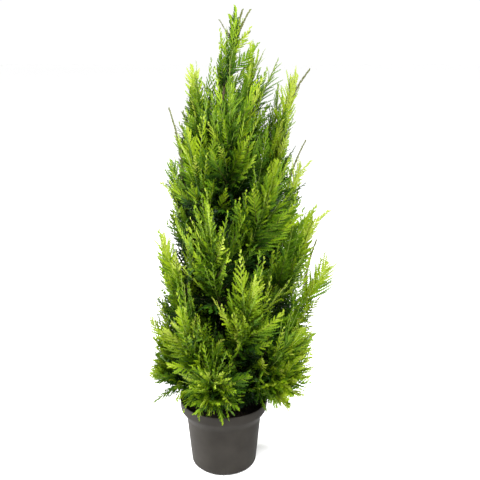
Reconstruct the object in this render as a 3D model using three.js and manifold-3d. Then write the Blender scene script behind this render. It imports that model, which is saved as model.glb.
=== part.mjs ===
// A young lawson cypress in a nursery pot.
//
// A straight trunk stands in a pot of compost. Shoots leave it in a spiral, each a golden angle round from the
// one below, and sweep outwards and up. The lower ones start as a bare bough, the upper ones straight from the
// trunk, and each carries one mass of foliage: a stem with flat, toothed sprays along it. The leader, a last
// plume on the trunk's tip, ends the tree.
//
// Units are millimetres. +Z is up, the front faces -Y, and the origin is the middle of the pot's underside.
import * as THREE from "three";
import { mergeVertices } from "three/addons/utils/BufferGeometryUtils.js";
import Module from "manifold-3d";

const wasm = await Module();
wasm.setup();

const { lerp, clamp, smoothstep, degToRad } = THREE.MathUtils;
const UP = new THREE.Vector3(0, 0, 1);

// Gaps between pieces
const SEAT_GAP = 0.3;
const LEAF_GAP = 6; // foliage keeps this far from the bark of a limb
const SPACE_MARGIN = 3; // and is nearer to its own stem than to any other by this much
const SPRAY_GAP = 7; // sprays of one mass keep about this far apart beyond their necks
const FINEST = 0.05; // slivers smaller than this are smoothed away

// Pot and compost
const POT_HEIGHT = 205;
const RIM_RADIUS = 126;
const RIM_BAND = 25; // upright band below the lip
const SHOULDER_DROP = 34; // height over which the band narrows to the wall
const WALL_TOP_RADIUS = 107;
const FOOT_RADIUS = 93;
const FOOT_ROUND = 14;
const POT_WALL = 2.6;
const POT_FLOOR = 7;
const POT_SIDES = 32;
const DRAIN_COUNT = 5;
const DRAIN_TURN = degToRad(-71);
const DRAIN_WIDTH = 46;
const DRAIN_REACH = 26;
const DRAIN_HEIGHT = 3.5;
const DRAIN_HOLE_RADIUS = 6;
const COMPOST_TOP = 184;
const COMPOST_EDGE = 178;
const COMPOST_FLAT_RADIUS = 34;

// Trunk
const TREE_TOP = 1300;
const TRUNK_FOOT = COMPOST_TOP + SEAT_GAP;
const TRUNK_TOP = 1075;
const TRUNK_FOOT_RADIUS = 16;
const TRUNK_RADIUS = 10.5; // above the root flare
const TRUNK_TOP_RADIUS = 3.4;
const FLARE_HEIGHT = 45;
const TRUNK_SWAY = 7;
const LEADER_SHIFT = 34; // the leader's tip stands this far to +X
const LEADER_BEND_FROM = 1040;
const LEADER_BEND_TO = 1235;

// Crown: shoots in a spiral, from the skirt over the rim to the plumes beside the leader
const SHOOT_COUNT = 30;
const SHOOTS_WITH_BOUGH = 22;
const GOLDEN_ANGLE = degToRad(137.5);
const FIRST_AZIMUTH = degToRad(166);
const SKIRT_TURN = degToRad(-45); // the lowest shoots stand this far round from the spiral
const SKIRT_TURN_UNTIL = 0.3; // share of the spiral where that has faded
const LOWEST_TIP = 232;
const HIGHEST_TIP = 1195;
const TIP_CROWDING = 1.12; // above 1 the tips crowd towards the skirt
const SKIRT_REACH = 238;
const WIDEST_REACH = 238;
const WIDEST_HEIGHT = 470;
const TOP_REACH = 111;
const SHOULDER_ROUNDNESS = 1.6;
const FULLER_SKIRT = 0.099; // the +X side grew fuller by this share, and the -X side less
const FULLER_TOP = 0.26;
const OUTLINE_SLACK = 16; // sprays stand out of the crown's outline by no more than this
const SKIRT_FOOT = 205; // no spray hangs lower
const SKIRT_RISE = 4; // from fork to tip
const CROWN_RISE = 371;
const RISE_GROWS_UNTIL = 0.463; // share of the spiral
const RISE_LAG = 1.15; // above 1 the rise grows late
const SKIRT_ARCH = 62; // a skirt shoot arches this far above its fork
const CROWN_ARCH = 0.22; // an upper one's bend, as a share of its rise
const BEND_REACH = 0.62; // and how far out the bend is
const STRONG_SHOOTS = new Map([[25, 92], [28, 45], [29, -38]]); // tips above or below the spiral, by so much
const WIDE_SHOOTS = new Map([[1, -75], [12, 45], [20, 45]]); // and further out or less far

// Limbs
const BOUGH_END = 0.25; // share of a shoot that is bare bough
const STEM_END = 0.72; // share where the stem ends in its last spray
const BOUGH_RADIUS = 4.6;
const BOUGH_TIP_RADIUS = 3.3;
const STEM_RADIUS = 3.6;
const STEM_TIP_RADIUS = 2.5;
const CORE_SHARE = 0.109; // radius of the dense core round a stem, as a share of the shoot's length
const LEADER_CORE = 22;
const CORE_RINGS = 6;

// Sprays of foliage
const SIDE_SPRAYS = 14; // that a stem tries to grow
const LEADER_SPRAYS = 12;
const MOST_SPRAYS = 7; // that it carries, the end one included
const SIDE_TEETH = 3;
const END_TEETH = 5;
const SPRAY_SHARE = 0.52; // length of a side spray as a share of its shoot
const LEADER_SPRAY = 115;
const SIDE_SLIMNESS = 0.27; // half width over length
const END_SLIMNESS = 0.33;
const STALK = 2.2; // half width and half thickness where a spray leaves its stem
const NECK = 5; // from the core to there
const SINK = 3; // a spray's root lies this far behind the stem's middle
const RIB_THICKNESS = 0.008; // half, as a share of length
const TEETH_TO = 0.84; // share of a spray's length where its teeth end and a bare tip follows
const TOOTH_LEAN = 0.05;
const NOTCH = 0.45; // depth of a notch between teeth, as a share of the half width
const OPEN_ANGLE = degToRad(52); // between a side spray and its stem, low down
const CLOSED_ANGLE = degToRad(30); // and at the stem's end
const SIDE_ROLL = degToRad(68); // side sprays leave the stem this far round from outwards
const ROLL_JITTER = degToRad(40);
const TWIST_JITTER = degToRad(68); // how far a spray's flat face turns from outwards
const SKIRT_DROOP = -0.079;
const CROWN_LIFT = 0.24;
const SHORTENINGS = [1, 0.85, 0.7, 0.55, 0.4]; // what leaves its space is cut down, then left out
const SEED = 2812333921;

const FOLIAGE = new THREE.MeshStandardMaterial({ color: 0x7fae1c, roughness: 0.6, metalness: 0 });
const BARK = new THREE.MeshStandardMaterial({ color: 0x6b5138, roughness: 0.9, metalness: 0 });
const POT_PLASTIC = new THREE.MeshStandardMaterial({ color: 0x4a4843, roughness: 0.55, metalness: 0 });
const COMPOST = new THREE.MeshStandardMaterial({ color: 0x1d1612, roughness: 1, metalness: 0 });

// Solids and meshes

function solid(geometry) {
  const bare = new THREE.BufferGeometry();
  bare.setAttribute("position", geometry.getAttribute("position"));
  bare.setIndex(geometry.index);
  const merged = mergeVertices(bare, 1e-4);
  const corners = merged.index.array;
  const kept = [];
  for (let i = 0; i < corners.length; i += 3) {
    const [a, b, c] = corners.slice(i, i + 3);
    if (a !== b && b !== c && c !== a) kept.push(a, b, c);
  }
  const vertProperties = merged.getAttribute("position").array;
  return new wasm.Manifold(new wasm.Mesh({ numProp: 3, vertProperties, triVerts: new Uint32Array(kept) }));
}

// Joins solids into one body. A hollow that the joining sealed and a scrap that came loose are other, smaller
// bodies of the result, so keeping the largest fills the one and drops the other.
function fuse(solids) {
  const bodies = wasm.Manifold.union(solids).simplify(FINEST).decompose();
  return bodies.reduce((best, body) => (body.volume() > best.volume() ? body : best));
}

function mesh(name, body, material) {
  const { vertProperties, triVerts } = body.getMesh();
  const geometry = new THREE.BufferGeometry();
  geometry.setAttribute("position", new THREE.BufferAttribute(vertProperties, 3));
  geometry.setIndex(new THREE.BufferAttribute(triVerts, 1));
  geometry.computeVertexNormals();
  const made = new THREE.Mesh(geometry, material);
  made.name = name;
  return made;
}

// A profile of [radius, height] pairs turned about +Z.
function turned(profile, sides) {
  const points = profile.map(([radius, height]) => new THREE.Vector2(radius, height));
  return new THREE.LatheGeometry(points, sides).rotateX(Math.PI / 2);
}

// A tapering limb along a path: a turned rod of unit size whose rings are carried onto the path and given their
// radius there. The vector across stays square to the whole path.
function limb(path, across, radiusAt, sides, rings) {
  const profile = [[0, 0]];
  for (let i = 0; i <= rings; i++) profile.push([1, i / rings]);
  profile.push([0, 1]);
  const rod = turned(profile, sides);
  const position = rod.getAttribute("position");
  for (let i = 0; i < position.count; i++) {
    const share = clamp(position.getZ(i), 0, 1);
    const { point, tangent } = path(share);
    const normal = new THREE.Vector3().crossVectors(tangent, across);
    const out = across.clone().multiplyScalar(position.getX(i)).addScaledVector(normal, position.getY(i));
    point.addScaledVector(out, radiusAt(share, point, out));
    position.setXYZ(i, point.x, point.y, point.z);
  }
  return rod;
}

// Pot and compost

function wallRadius(height) {
  return lerp(FOOT_RADIUS, WALL_TOP_RADIUS, height / (POT_HEIGHT - RIM_BAND - SHOULDER_DROP));
}

function potBody() {
  const wallTop = POT_HEIGHT - RIM_BAND - SHOULDER_DROP;
  const bandFoot = POT_HEIGHT - RIM_BAND;
  const outside = [[0, 0]];
  for (const turn of [0, 30, 60, 90].map(degToRad)) {
    outside.push([
      wallRadius(FOOT_ROUND) - FOOT_ROUND * (1 - Math.sin(turn)),
      FOOT_ROUND * (1 - Math.cos(turn)),
    ]);
  }
  outside.push([WALL_TOP_RADIUS, wallTop]);
  outside.push([lerp(WALL_TOP_RADIUS, RIM_RADIUS, 0.7), lerp(wallTop, bandFoot, 0.5)]);
  outside.push([RIM_RADIUS - 1, bandFoot], [RIM_RADIUS, POT_HEIGHT - 3], [RIM_RADIUS - 1, POT_HEIGHT]);
  const inside = [
    [RIM_RADIUS - POT_WALL, POT_HEIGHT],
    [RIM_RADIUS - POT_WALL - 1.5, bandFoot],
    [WALL_TOP_RADIUS - POT_WALL, wallTop],
    [wallRadius(POT_FLOOR) - POT_WALL - 6, POT_FLOOR],
    [0, POT_FLOOR],
  ];
  return solid(turned([...outside, ...inside], POT_SIDES));
}

// Grooves under the pot's edge, each with a hole up through the floor, let water out.
function drainCut(turn) {
  const middle = FOOT_RADIUS - DRAIN_REACH / 2;
  const groove = new THREE.BoxGeometry(2 * DRAIN_REACH, DRAIN_WIDTH, 2 * DRAIN_HEIGHT);
  groove.translate(middle + DRAIN_REACH / 2, 0, 0).rotateZ(turn);
  const hole = new THREE.CylinderGeometry(DRAIN_HOLE_RADIUS, DRAIN_HOLE_RADIUS, 4 * POT_FLOOR, 8);
  hole.rotateX(Math.PI / 2).translate(middle, 0, 0).rotateZ(turn);
  return [solid(groove), solid(hole)];
}

function pot() {
  let body = potBody();
  for (let i = 0; i < DRAIN_COUNT; i++) {
    const turn = DRAIN_TURN + (i * 2 * Math.PI) / DRAIN_COUNT;
    for (const cut of drainCut(turn)) body = body.subtract(cut);
  }
  return body;
}

function compost() {
  const inset = POT_WALL + 2 * SEAT_GAP;
  const wallTop = POT_HEIGHT - RIM_BAND - SHOULDER_DROP;
  const shoulder = (COMPOST_EDGE - wallTop) / SHOULDER_DROP;
  return solid(turned([
    [0, POT_FLOOR + SEAT_GAP],
    [wallRadius(POT_FLOOR) - inset - 6, POT_FLOOR + SEAT_GAP],
    [WALL_TOP_RADIUS - inset, wallTop],
    [lerp(WALL_TOP_RADIUS, RIM_RADIUS - 2, Math.min(shoulder, 1)) - inset, COMPOST_EDGE],
    [COMPOST_FLAT_RADIUS, COMPOST_TOP],
    [0, COMPOST_TOP],
  ], POT_SIDES));
}

// Trunk

function trunkAt(height) {
  const share = clamp((height - TRUNK_FOOT) / (TRUNK_TOP - TRUNK_FOOT), 0, 1);
  const sway = TRUNK_SWAY * Math.sin(Math.PI * share) ** 2;
  const shift = LEADER_SHIFT * smoothstep(height, LEADER_BEND_FROM, LEADER_BEND_TO);
  return new THREE.Vector3(sway + shift, 0, height);
}

function trunkPath(from, to) {
  return (share) => {
    const height = lerp(from, to, share);
    const tangent = trunkAt(height + 1).sub(trunkAt(height - 1)).normalize();
    return { point: trunkAt(height), tangent };
  };
}

function trunkRadius(height) {
  const taper = lerp(TRUNK_RADIUS, TRUNK_TOP_RADIUS, (height - TRUNK_FOOT) / (TRUNK_TOP - TRUNK_FOOT));
  const flare = 1 - smoothstep(height, TRUNK_FOOT, TRUNK_FOOT + FLARE_HEIGHT);
  return taper + (TRUNK_FOOT_RADIUS - TRUNK_RADIUS) * flare ** 2;
}

function trunk(extra = 0) {
  const radiusAt = (share) => trunkRadius(lerp(TRUNK_FOOT, TRUNK_TOP, share)) + extra;
  return limb(trunkPath(TRUNK_FOOT, TRUNK_TOP), new THREE.Vector3(0, 1, 0), radiusAt, 7, 16);
}

// Shoots of the crown

function crownReach(height) {
  if (height < WIDEST_HEIGHT) {
    return lerp(SKIRT_REACH, WIDEST_REACH, (height - LOWEST_TIP) / (WIDEST_HEIGHT - LOWEST_TIP));
  }
  const above = (height - WIDEST_HEIGHT) / (HIGHEST_TIP - WIDEST_HEIGHT);
  return lerp(WIDEST_REACH, TOP_REACH, above ** SHOULDER_ROUNDNESS);
}

// How much fuller or thinner the crown is on the side that x, the cosine of an azimuth, looks to.
function fullness(height, x) {
  const up = clamp((height - LOWEST_TIP) / (HIGHEST_TIP - LOWEST_TIP), 0, 1);
  return 1 + lerp(FULLER_SKIRT, FULLER_TOP, up) * x;
}

// Shoot number i of the spiral: its curve from the trunk's middle out to its tip.
function shootAt(i) {
  const share = i / (SHOOT_COUNT - 1);
  const skirtTurn = SKIRT_TURN * (1 - smoothstep(share, 0, SKIRT_TURN_UNTIL));
  const azimuth = FIRST_AZIMUTH + i * GOLDEN_ANGLE + skirtTurn;
  const outward = new THREE.Vector3(Math.cos(azimuth), Math.sin(azimuth), 0);
  const across = new THREE.Vector3().crossVectors(UP, outward);
  const spiralTip = lerp(LOWEST_TIP, HIGHEST_TIP, share ** TIP_CROWDING);
  const reach = crownReach(spiralTip) * fullness(spiralTip, outward.x) + (WIDE_SHOOTS.get(i) ?? 0);
  const tipHeight = spiralTip + (STRONG_SHOOTS.get(i) ?? 0);
  const grown = Math.min(share / RISE_GROWS_UNTIL, 1) ** RISE_LAG;
  const rise = lerp(SKIRT_RISE, CROWN_RISE, grown);
  const arch = lerp(SKIRT_ARCH, CROWN_ARCH * rise, grown);
  const fork = trunkAt(spiralTip - rise);
  const bend = fork.clone().addScaledVector(outward, BEND_REACH * reach).addScaledVector(UP, arch);
  const tip = fork.clone().addScaledVector(outward, reach).setZ(tipHeight);
  const curve = new THREE.QuadraticBezierCurve3(fork, bend, tip);
  const bare = i < SHOOTS_WITH_BOUGH;
  const lift = lerp(SKIRT_DROOP, CROWN_LIFT, smoothstep(share, 0, 0.35));
  return { number: i + 1, curve, outward, across, tip, bare, lift, length: curve.getLength() };
}

// A stretch of a shoot's curve as a path from 0 to 1.
function stretch(shoot, from, to) {
  return (share) => {
    const t = lerp(from, to, share);
    return { point: shoot.curve.getPoint(t), tangent: shoot.curve.getTangent(t) };
  };
}

// Where the bare bough or the trunk's bark ends and the stem of the mass begins.
function stemStart(shoot) {
  if (shoot.bare) return BOUGH_END + SEAT_GAP / shoot.length;
  return 0;
}

function bough(shoot) {
  const radiusAt = (share) => lerp(BOUGH_RADIUS, BOUGH_TIP_RADIUS, share);
  const whole = solid(limb(stretch(shoot, 0, BOUGH_END), shoot.across, radiusAt, 5, 3));
  return fuse([whole.subtract(solid(trunk(SEAT_GAP)))]);
}

// Points along a path, for measuring distances to it.
function samples(path, count) {
  return Array.from({ length: count + 1 }, (_, i) => path(i / count).point);
}

// Sprays

function dice(seed) {
  let state = seed >>> 0;
  return () => {
    state = (Math.imul(state, 1664525) + 1013904223) >>> 0;
    return state / 2 ** 32;
  };
}

// A spray lies along a bent line from its root. Its place for (u, v, w) is u of its length along, v across
// and w off its face.
function sprayPoint(spray, u, v, w) {
  return spray.root.clone()
    .addScaledVector(spray.along, spray.length * u)
    .addScaledVector(spray.bend, spray.length * u * u)
    .addScaledVector(spray.across, v)
    .addScaledVector(spray.face, w);
}

function halfWidth(spray, u) {
  const neck = spray.neck / spray.length;
  const share = clamp((u - neck) / (0.97 - neck), 0, 1);
  return Math.max(spray.length * spray.slimness * Math.sin(Math.PI * share ** 0.72), STALK * (1 - u));
}

// Points spread over a spray beyond its neck, for testing where it reaches.
function sprayGrid(spray) {
  const grid = [];
  for (let u = 2; u <= 10; u++) {
    for (let v = -3; v <= 3; v++) grid.push(sprayPoint(spray, u / 10, (v / 3) * halfWidth(spray, u / 10), 0));
  }
  return grid;
}

// The directions of a spray whose flat face looks outwards, turned about its own line by a twist.
function facing(along, outward, twist) {
  const face = outward.clone().addScaledVector(along, -outward.dot(along)).normalize();
  face.applyAxisAngle(along, twist);
  return { along, face, across: new THREE.Vector3().crossVectors(face, along) };
}

// The spray that ends a stem and reaches the tip of its mass. On a shoot it stands on edge, to show from
// the side.
function endSpray(mass, random) {
  const { point, tangent } = mass.path(1);
  const reach = mass.tip.clone().sub(point);
  const length = reach.length();
  const twist = mass.endTwist + (random() - 0.5) * TWIST_JITTER;
  const bend = reach.divideScalar(length).sub(tangent);
  const shape = { slimness: END_SLIMNESS, teeth: END_TEETH, neck: 2 * NECK, outermost: true };
  return { root: point, length, bend, ...shape, ...facing(tangent, mass.outward, twist) };
}

// Side sprays leave the stem to left and right in turn, and close up towards its end.
function sideSpray(mass, order, random) {
  const share = lerp(mass.bareShare, 0.96, order / (mass.count - 1));
  const { point, tangent } = mass.path(share);
  const side = order % 2 ? 1 : -1;
  const roll = side * (SIDE_ROLL + (random() - 0.5) * 2 * ROLL_JITTER) + mass.turn * order;
  const open = lerp(OPEN_ANGLE, CLOSED_ANGLE, share) * (0.85 + 0.3 * random());
  const twist = (random() - 0.5) * 2 * TWIST_JITTER;
  const length = mass.sprayLength * (0.82 + 0.36 * random());
  const away = mass.outward.clone().addScaledVector(tangent, -mass.outward.dot(tangent)).normalize();
  away.applyAxisAngle(tangent, roll);
  const along = tangent.clone().multiplyScalar(Math.cos(open)).addScaledVector(away, Math.sin(open));
  const bend = UP.clone().multiplyScalar(mass.lift);
  const neck = coreRadius(mass, share) / Math.sin(open) + NECK;
  const shape = { slimness: SIDE_SLIMNESS, teeth: SIDE_TEETH, neck, outermost: false };
  return { root: point, length, bend, ...shape, ...facing(along, mass.outward, twist) };
}

function distanceToPath(point, path) {
  const nearest = new THREE.Vector3();
  const line = new THREE.Line3();
  let best = Infinity;
  for (let i = 1; i < path.length; i++) {
    line.set(path[i - 1], path[i]).closestPointToPoint(point, true, nearest);
    best = Math.min(best, nearest.distanceTo(point));
  }
  return best;
}

// True where a point is clear of the pot and the compost, and not under the skirt.
function clearOfPot(point) {
  const out = Math.hypot(point.x, point.y);
  if (out > RIM_RADIUS + LEAF_GAP / 2) return point.z > SKIRT_FOOT;
  return point.z > POT_HEIGHT + LEAF_GAP / 2;
}

// True where a point is within the crown's outline, which closes in on the leader above the highest shoots.
function insideCrown(point) {
  const middle = trunkAt(point.z);
  const out = Math.hypot(point.x - middle.x, point.y);
  const fuller = fullness(point.z, (point.x - middle.x) / Math.max(out, 1));
  const closing = clamp((TREE_TOP - point.z) / (TREE_TOP - HIGHEST_TIP), 0.2, 1);
  return out < crownReach(Math.min(point.z, HIGHEST_TIP)) * fuller * closing + OUTLINE_SLACK;
}

// True where a point is nearer to its own mass's line than to another's, and clear of bark and pot.
function inSpace(point, mass, masses, limbs) {
  if (!clearOfPot(point)) return false;
  if (limbs.some((bark) => distanceToPath(point, bark.path) < bark.radius + LEAF_GAP)) return false;
  const own = distanceToPath(point, mass.line) + SPACE_MARGIN;
  return masses.every((other) => other === mass || distanceToPath(point, other.line) > own);
}

// True where a spray stays clear of one that grew before it on the same stem.
function clearOfSpray(spray, grown) {
  const theirs = sprayGrid(grown);
  return sprayGrid(spray).every((point) => theirs.every((other) => point.distanceTo(other) > SPRAY_GAP));
}

// The sprays of a mass, each at the greatest length at which it keeps to the mass's space.
function spraysOf(mass, masses, limbs) {
  const random = dice(mass.seed);
  const wanted = [endSpray(mass, random)];
  for (let order = 0; order < mass.count; order++) wanted.push(sideSpray(mass, order, random));
  const grown = [];
  for (const spray of wanted) {
    const kept = SHORTENINGS.map((share) => ({ ...spray, length: spray.length * share })).find((shorter) =>
      sprayGrid(shorter).every((point) =>
        inSpace(point, mass, masses, limbs) && (shorter.outermost || insideCrown(point)))
      && grown.every((other) => clearOfSpray(shorter, other)));
    if (kept && grown.length < MOST_SPRAYS) grown.push(kept);
  }
  return grown;
}

// A toothed blade with a rib down the middle of each face, its root sunk in the stem. Every tooth is a fan of
// faces round the point of the rib behind it.
function blade(spray) {
  const places = [];
  const faces = [];
  const place = (u, v, w) => places.push(sprayPoint(spray, u, v, w)) - 1;
  const notchAt = (k) => lerp(spray.neck / spray.length, TEETH_TO, k / spray.teeth);
  const ribAt = (k) => (k === 0 ? STALK : spray.length * RIB_THICKNESS * (1.2 - notchAt(k)) + 0.5);
  const ribs = [1, -1].map((face) =>
    Array.from({ length: spray.teeth }, (_, k) => place(notchAt(k), 0, face * ribAt(k))));
  const root = place(-SINK / spray.length, 0, 0);
  const end = place(1, 0, 0);
  const starts = [];
  for (const side of [1, -1]) {
    let notch = place(notchAt(0), side * STALK, 0);
    starts.push(notch);
    for (let k = 1; k <= spray.teeth; k++) {
      const middle = (notchAt(k - 1) + notchAt(k)) / 2;
      const tip = place(middle + TOOTH_LEAN, side * halfWidth(spray, middle), 0);
      const next = place(notchAt(k), side * Math.max(NOTCH * halfWidth(spray, notchAt(k)), 1.4), 0);
      ribs.forEach((rib, bottom) => {
        const behind = rib[k - 1];
        const ahead = k < spray.teeth ? rib[k] : end;
        const flip = (side > 0) === (bottom === 0);
        for (const [a, b, c] of [[behind, notch, tip], [behind, tip, next], [behind, next, ahead]]) {
          faces.push(...(flip ? [a, c, b] : [a, b, c]));
        }
      });
      notch = next;
    }
  }
  const neck = [starts[0], ribs[0][0], starts[1], ribs[1][0]];
  neck.forEach((corner, i) => faces.push(root, neck[(i + 1) % 4], corner));
  const geometry = new THREE.BufferGeometry().setFromPoints(places);
  return geometry.setIndex(faces);
}

// Masses of foliage

function coreRadius(mass, share) {
  return mass.core * Math.sin(Math.PI * share ** 0.8) ** 0.7;
}

function shootMass(shoot) {
  const path = stretch(shoot, stemStart(shoot), STEM_END);
  return {
    name: "foliage_" + String(shoot.number).padStart(2, "0"),
    path,
    line: samples(stretch(shoot, stemStart(shoot), 0.95), 8),
    core: CORE_SHARE * shoot.length,
    across: shoot.across,
    outward: shoot.outward,
    tip: shoot.tip,
    lift: shoot.lift,
    count: SIDE_SPRAYS,
    turn: 0,
    endTwist: Math.PI / 2,
    bareShare: shoot.bare ? 0.25 : 0.42,
    sprayLength: SPRAY_SHARE * shoot.length,
    seed: shoot.number * SEED,
  };
}

function leaderMass() {
  const path = trunkPath(TRUNK_TOP + SEAT_GAP, lerp(TRUNK_TOP, TREE_TOP, 0.5));
  return {
    name: "foliage_leader",
    path,
    line: samples(trunkPath(TRUNK_TOP + SEAT_GAP, TREE_TOP), 8),
    core: LEADER_CORE,
    across: new THREE.Vector3(0, 1, 0),
    outward: new THREE.Vector3(0, -1, 0),
    tip: trunkAt(TREE_TOP),
    lift: CROWN_LIFT,
    count: LEADER_SPRAYS,
    turn: GOLDEN_ANGLE / 2,
    endTwist: 0,
    bareShare: 0.12,
    sprayLength: LEADER_SPRAY,
    seed: (SHOOT_COUNT + 1) * SEED,
  };
}

// The stem swells to a dense core, as far as the mass's space lets it.
function stem(mass, masses, limbs) {
  const radiusAt = (share, point, out) => {
    const bare = lerp(STEM_RADIUS, STEM_TIP_RADIUS, share);
    const tries = SHORTENINGS.map((part) => part * coreRadius(mass, share));
    const edge = (radius) => point.clone().addScaledVector(out, radius);
    const free = tries.find((radius) => inSpace(edge(radius), mass, masses, limbs));
    return Math.max(bare, free ?? 0);
  };
  return solid(limb(mass.path, mass.across, radiusAt, 5, CORE_RINGS)).subtract(solid(trunk(SEAT_GAP)));
}

function foliage(mass, masses, limbs) {
  const sprays = spraysOf(mass, masses, limbs).map((spray) => solid(blade(spray)));
  return fuse([stem(mass, masses, limbs), ...sprays]);
}

// The tree in its pot

const shoots = Array.from({ length: SHOOT_COUNT }, (_, i) => shootAt(i));
const boughs = shoots.filter((shoot) => shoot.bare);
const masses = [...shoots.map(shootMass), leaderMass()];
const limbs = [
  { path: samples(trunkPath(TRUNK_FOOT, TRUNK_TOP), 12), radius: TRUNK_RADIUS },
  ...boughs.map((shoot) => ({ path: samples(stretch(shoot, 0, BOUGH_END), 4), radius: BOUGH_RADIUS })),
];

const container = new THREE.Group();
container.add(mesh("pot", pot(), POT_PLASTIC), mesh("compost", compost(), COMPOST));

const tree = new THREE.Group();
tree.add(mesh("trunk", solid(trunk()), BARK));
for (const shoot of boughs) {
  tree.add(mesh("bough_" + String(shoot.number).padStart(2, "0"), bough(shoot), BARK));
}
for (const mass of masses) tree.add(mesh(mass.name, foliage(mass, masses, limbs), FOLIAGE));

const plant = new THREE.Group();
plant.add(container, tree);

export default plant;
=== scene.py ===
# %% [markdown]
# # A young lawson cypress in a nursery pot
# The real plant is a dense, narrow cone of flat, fern-like sprays round one straight trunk. The packed
# solids say where everything is: the pot, the compost, the trunk, the boughs and one mass of foliage to
# each shoot. Here a finer piece takes the place of every solid. The sizes of a plant are easiest to think
# of in millimetres, so they are named in millimetres and become Blender's metres where a mesh is made.
# Only the camera, the lamps and the floor are placed in metres.

# %% Load the solids
import math
from types import SimpleNamespace

import bmesh
import bpy
import numpy as np
from mathutils import Matrix, Vector, noise


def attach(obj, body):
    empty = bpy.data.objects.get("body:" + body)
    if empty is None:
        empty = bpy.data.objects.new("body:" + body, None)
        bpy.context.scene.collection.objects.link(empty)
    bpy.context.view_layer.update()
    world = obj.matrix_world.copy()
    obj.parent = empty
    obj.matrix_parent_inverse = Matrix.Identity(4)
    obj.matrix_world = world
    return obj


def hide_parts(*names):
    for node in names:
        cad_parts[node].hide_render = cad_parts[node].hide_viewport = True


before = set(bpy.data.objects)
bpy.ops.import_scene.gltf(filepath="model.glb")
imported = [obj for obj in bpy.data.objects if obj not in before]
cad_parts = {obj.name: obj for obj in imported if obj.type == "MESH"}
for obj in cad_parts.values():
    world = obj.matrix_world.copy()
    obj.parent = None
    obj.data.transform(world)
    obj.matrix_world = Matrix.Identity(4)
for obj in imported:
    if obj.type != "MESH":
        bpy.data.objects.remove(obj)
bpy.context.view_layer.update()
MM = 0.001

# %% [markdown]
# ## Camera and light
# The plant was photographed from a little above its top, a good two metres away, on white. The camera's
# place follows from the ellipses of the pot's rim and foot. Many lamps could give the even light of such
# a picture, but a white surround gives most of it at once. One soft lamp at the left and one in front
# above model the crown and the pot, and a plain pale floor catches their faint shadow. The Standard view
# keeps whites white, which a filmic view would turn grey.

# %% Camera
CAMERA_PLACE = (0.047, -2.150, 1.360)
CAMERA_TILT_DEGREES = 17.5
SENSOR_WIDTH, FOCAL_LENGTH = 36, 61.95

scene = bpy.context.scene
scene.view_settings.view_transform = "Standard"
lens = bpy.data.cameras.new("camera")
lens.sensor_width = SENSOR_WIDTH
lens.lens = FOCAL_LENGTH
camera = bpy.data.objects.new("camera", lens)
camera.location = CAMERA_PLACE
camera.rotation_euler = (math.radians(90 - CAMERA_TILT_DEGREES), 0, 0)
scene.collection.objects.link(camera)
scene.camera = camera
print("camera at", CAMERA_PLACE, "looks down by", CAMERA_TILT_DEGREES, "degrees")

# %% Light
SURROUND_STRENGTH = 1.03


def soft_lamp(name, place, target, size, watts):
    lamp = bpy.data.lights.new(name, "AREA")
    lamp.size = size
    lamp.energy = watts
    holder = bpy.data.objects.new(name, lamp)
    holder.location = place
    holder.rotation_euler = (Vector(target) - Vector(place)).to_track_quat("-Z", "Y").to_euler()
    scene.collection.objects.link(holder)
    return holder


surround = bpy.data.worlds.new("white surround")
surround.use_nodes = True
background = surround.node_tree.nodes["Background"]
background.inputs["Color"].default_value = (1, 1, 1, 1)
background.inputs["Strength"].default_value = SURROUND_STRENGTH
scene.world = surround
side_lamp = soft_lamp("side lamp", place=(-2.4, 0.2, 1.4), target=(0, 0, 0.5), size=1.2, watts=235)
top_lamp = soft_lamp("top lamp", place=(0.8, -1.9, 3.2), target=(0, 0, 0.7), size=0.8, watts=235)
print("lamps:", side_lamp.name, "and", top_lamp.name)

# %% Floor
FLOOR_HALF_WIDTH = 12

floor_shell = bmesh.new()
bmesh.ops.create_grid(floor_shell, x_segments=1, y_segments=1, size=FLOOR_HALF_WIDTH)
floor_mesh = bpy.data.meshes.new("floor")
floor_shell.to_mesh(floor_mesh)
floor_shell.free()
floor = bpy.data.objects.new("floor", floor_mesh)
scene.collection.objects.link(floor)
print("floor:", 2 * FLOOR_HALF_WIDTH, "metres wide")

# %% [markdown]
# ## Finishes
# Moulded plastic, bark and compost are never quite even. A painted image could show that, but a pattern
# that the shader works out has no seams and fits any size. Each finish starts from a Principled shader
# with one plain colour. Noise textures in Object coordinates then mottle the colour, vary the roughness
# and raise a fine bump. Floor and leaves keep plain colours: the leaves' tints are dealt out by branchlet
# instead.


# %% Plain finishes
def plain_finish(name, colour, roughness, gloss=0.5):
    finish = bpy.data.materials.new(name)
    finish.use_nodes = True
    shader = finish.node_tree.nodes["Principled BSDF"]
    shader.inputs["Base Color"].default_value = (*colour, 1)
    shader.inputs["Roughness"].default_value = roughness
    shader.inputs["Specular IOR Level"].default_value = gloss
    return finish


pale_floor = plain_finish("pale floor", (0.95, 0.95, 0.95), 0.7)
floor.data.materials.append(pale_floor)
print("plain finish:", pale_floor.name)

# %% Noise on a finish
NOISE_LOW, NOISE_HIGH = 0.3, 0.7


def noise_node(tree, scale, detail, stretch):
    place = tree.nodes.new("ShaderNodeTexCoord")
    mapping = tree.nodes.new("ShaderNodeMapping")
    mapping.inputs["Scale"].default_value = stretch
    pattern = tree.nodes.new("ShaderNodeTexNoise")
    pattern.inputs["Scale"].default_value = scale
    pattern.inputs["Detail"].default_value = detail
    tree.links.new(place.outputs["Object"], mapping.inputs["Vector"])
    tree.links.new(mapping.outputs["Vector"], pattern.inputs["Vector"])
    return pattern


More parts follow.
